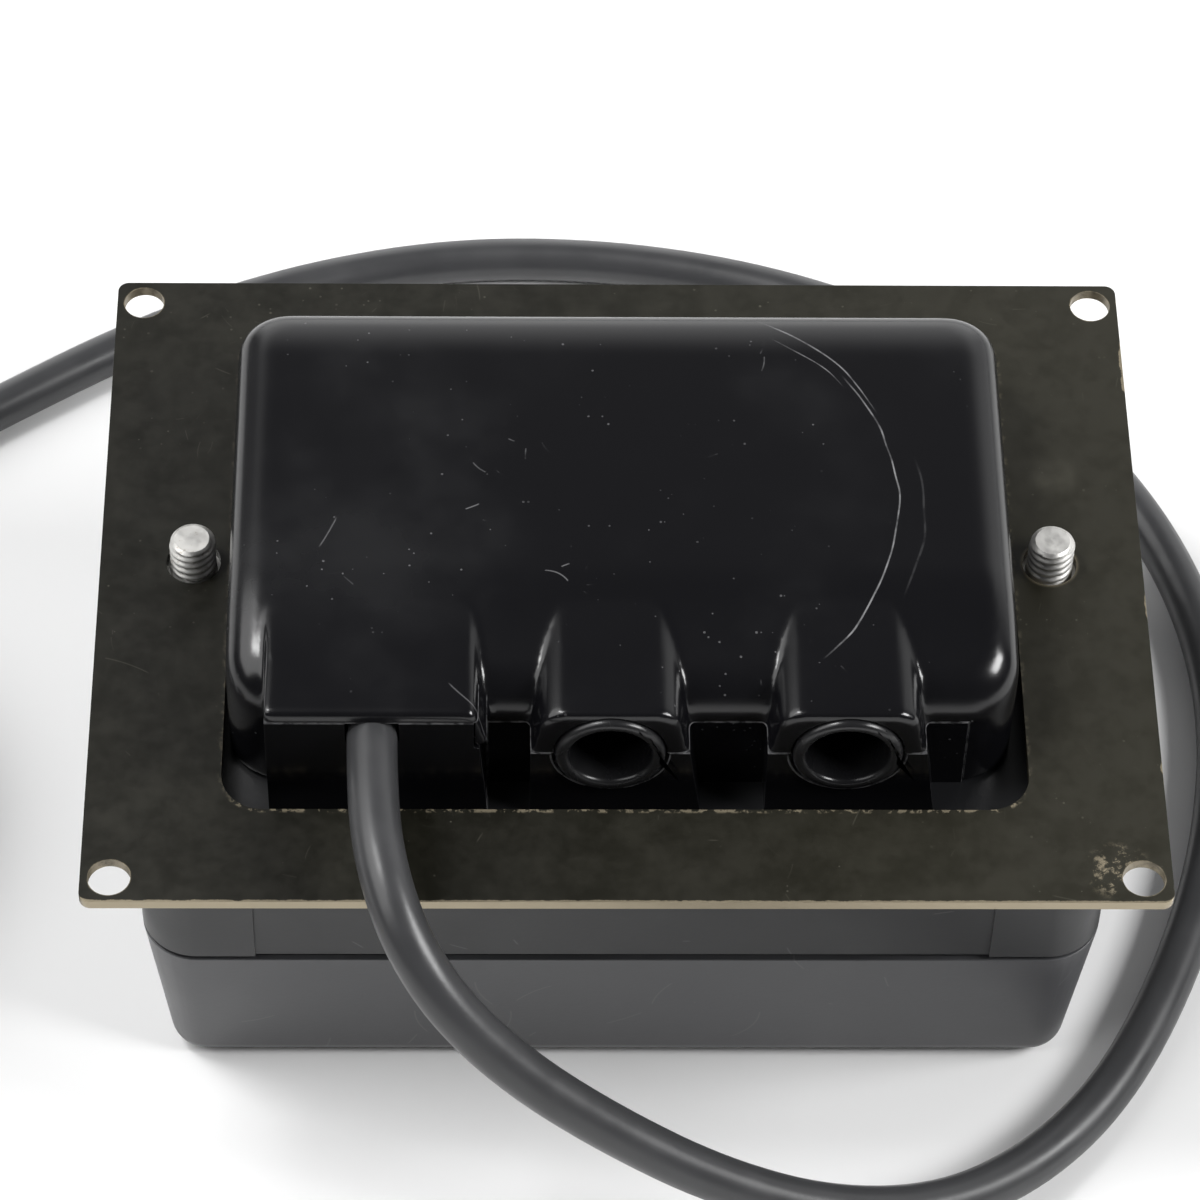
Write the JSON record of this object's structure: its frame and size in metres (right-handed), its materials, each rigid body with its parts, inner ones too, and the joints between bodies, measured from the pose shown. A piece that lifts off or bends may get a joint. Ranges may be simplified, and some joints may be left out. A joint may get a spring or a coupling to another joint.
{
  "type": "garage door opener control unit",
  "caption": "Flush control unit of a garage door opener: a box in a rectangular mounting plate, with a domed rear cover, cable entries and a supply cord.",
  "frame": {"origin": "on the surface under the front face, below the middle of the mounting plate", "axes": "+Z out of the wiring side, +X along the plate's long side to the right when the cable entries face the viewer, +Y away from the cable entries"},
  "size_m": [0.2879, 0.2174, 0.072],
  "materials": {
    "plate": "satin dark olive-bronze coating, worn to bare metal along the edges",
    "shell_gloss": "glossy moulded plastic with light scratches",
    "housing": "satin moulded plastic",
    "seal_rubber": "matt foam rubber",
    "grommet_rubber": "smooth rubber",
    "zinc_steel": "bright zinc plating, slightly tarnished",
    "spring_steel": "drawn wire",
    "cord_rubber": "smooth satin rubber jacket",
    "contact_brass": "bright contact metal",
    "inner_plastic": "satin moulded plastic",
    "button_plastic": "satin grey plastic",
    "switch_plastic": "satin plastic",
    "board": "solder-resist lacquer",
    "terminal": "satin moulded plastic",
    "wire_insulation": "smooth insulation",
    "chip": "moulded epoxy",
    "core_steel": "lacquered laminations",
    "winding_copper": "enamelled copper under tape",
    "antenna_wire": "bare copper wire",
    "capacitor_sleeve": "shrink sleeve",
    "varistor_ceramic": "dipped coating",
    "glass_tube": "clear glass tube",
    "clear_plastic": "clear moulded plastic"
  },
  "bodies": {
    "unit": {"antenna": "antenna_wire", "board_screws": "zinc_steel", "button_guide": "inner_plastic", "button_spring": "spring_steel", "button_switch": "switch_plastic", "capacitors": "capacitor_sleeve", "circuit_board": "board", "clamp_screws": "zinc_steel", "controller_chip": "chip", "cord_clamp": "inner_plastic", "cord_coil": "cord_rubber", "cord_free": "cord_rubber", "cord_inner": "cord_rubber", "cord_tail": "cord_rubber", "cover_screws": "zinc_steel", "entry_block": "shell_gloss", "front_tray": "housing", "fuse": "glass_tube", "fuse_clips": "contact_brass", "groove_seal": "seal_rubber", "learn_switch": "switch_plastic", "light_pipe": "clear_plastic", "middle_frame": "housing", "middle_grommet": "grommet_rubber", "mounting_plate": "plate", "plate_gasket": "seal_rubber", "plug_blades": "contact_brass", "plug_body": "cord_rubber", "plug_boot": "cord_rubber", "plug_ground_pin": "contact_brass", "radio_receiver": "chip", "rear_cover": "shell_gloss", "relay_left": "inner_plastic", "relay_right": "inner_plastic", "right_grommet": "grommet_rubber", "screw_nuts": "zinc_steel", "status_light": "clear_plastic", "supply_wires": "wire_insulation", "terminal_block": "terminal", "terminal_screws": "zinc_steel", "transformer_core": "core_steel", "transformer_winding": "winding_copper", "tray_screws": "zinc_steel", "varistor": "varistor_ceramic"},
    "left_washer": {"left_screw_washer": "zinc_steel"},
    "left_screw": {"left_screw": "zinc_steel"},
    "right_washer": {"right_screw_washer": "zinc_steel"},
    "right_screw": {"right_screw": "zinc_steel"},
    "button": {"push_button": "button_plastic"},
    "plunger": {"switch_plunger": "switch_plastic"},
    "learn_key": {"learn_button": "button_plastic"}
  },
  "joints": [
    {"name": "left_screw_feed", "type": "slide", "parent": "unit", "child": "left_washer", "axis": [0, 0, -1], "range_m": [0, 0.00635]},
    {"name": "left_screw_turn", "type": "hinge", "parent": "left_washer", "child": "left_screw", "pos_m": [-0.0575, 0.0026, 0.0435], "axis": [0, 0, -1], "range_deg": [0, 1801]},
    {"name": "right_screw_feed", "type": "slide", "parent": "unit", "child": "right_washer", "axis": [0, 0, -1], "range_m": [0, 0.00635]},
    {"name": "right_screw_turn", "type": "hinge", "parent": "right_washer", "child": "right_screw", "pos_m": [0.0575, 0.0026, 0.0435], "axis": [0, 0, -1], "range_deg": [0, 1801]},
    {"name": "button_press", "type": "slide", "parent": "unit", "child": "button", "axis": [0, 0, 1], "range_m": [0, 0.002], "stiffness_N_per_m": 400, "springref_m": -0.001, "deforming": ["button_spring"]},
    {"name": "plunger_press", "type": "slide", "parent": "unit", "child": "plunger", "axis": [0, 0, 1], "range_m": [0, 0.00205]},
    {"name": "learn_press", "type": "slide", "parent": "unit", "child": "learn_key", "axis": [0, 0, -1], "range_m": [0, 0.0005], "stiffness_N_per_m": 500, "springref_m": -0.0003}
  ],
  "couplings": [
    {"joint": "left_screw_turn", "follows": "left_screw_feed", "rad_per_m": 4947.4},
    {"joint": "right_screw_turn", "follows": "right_screw_feed", "rad_per_m": 4947.4},
    {"joint": "plunger_press", "follows": "button_press", "ratio": 1}
  ]
}
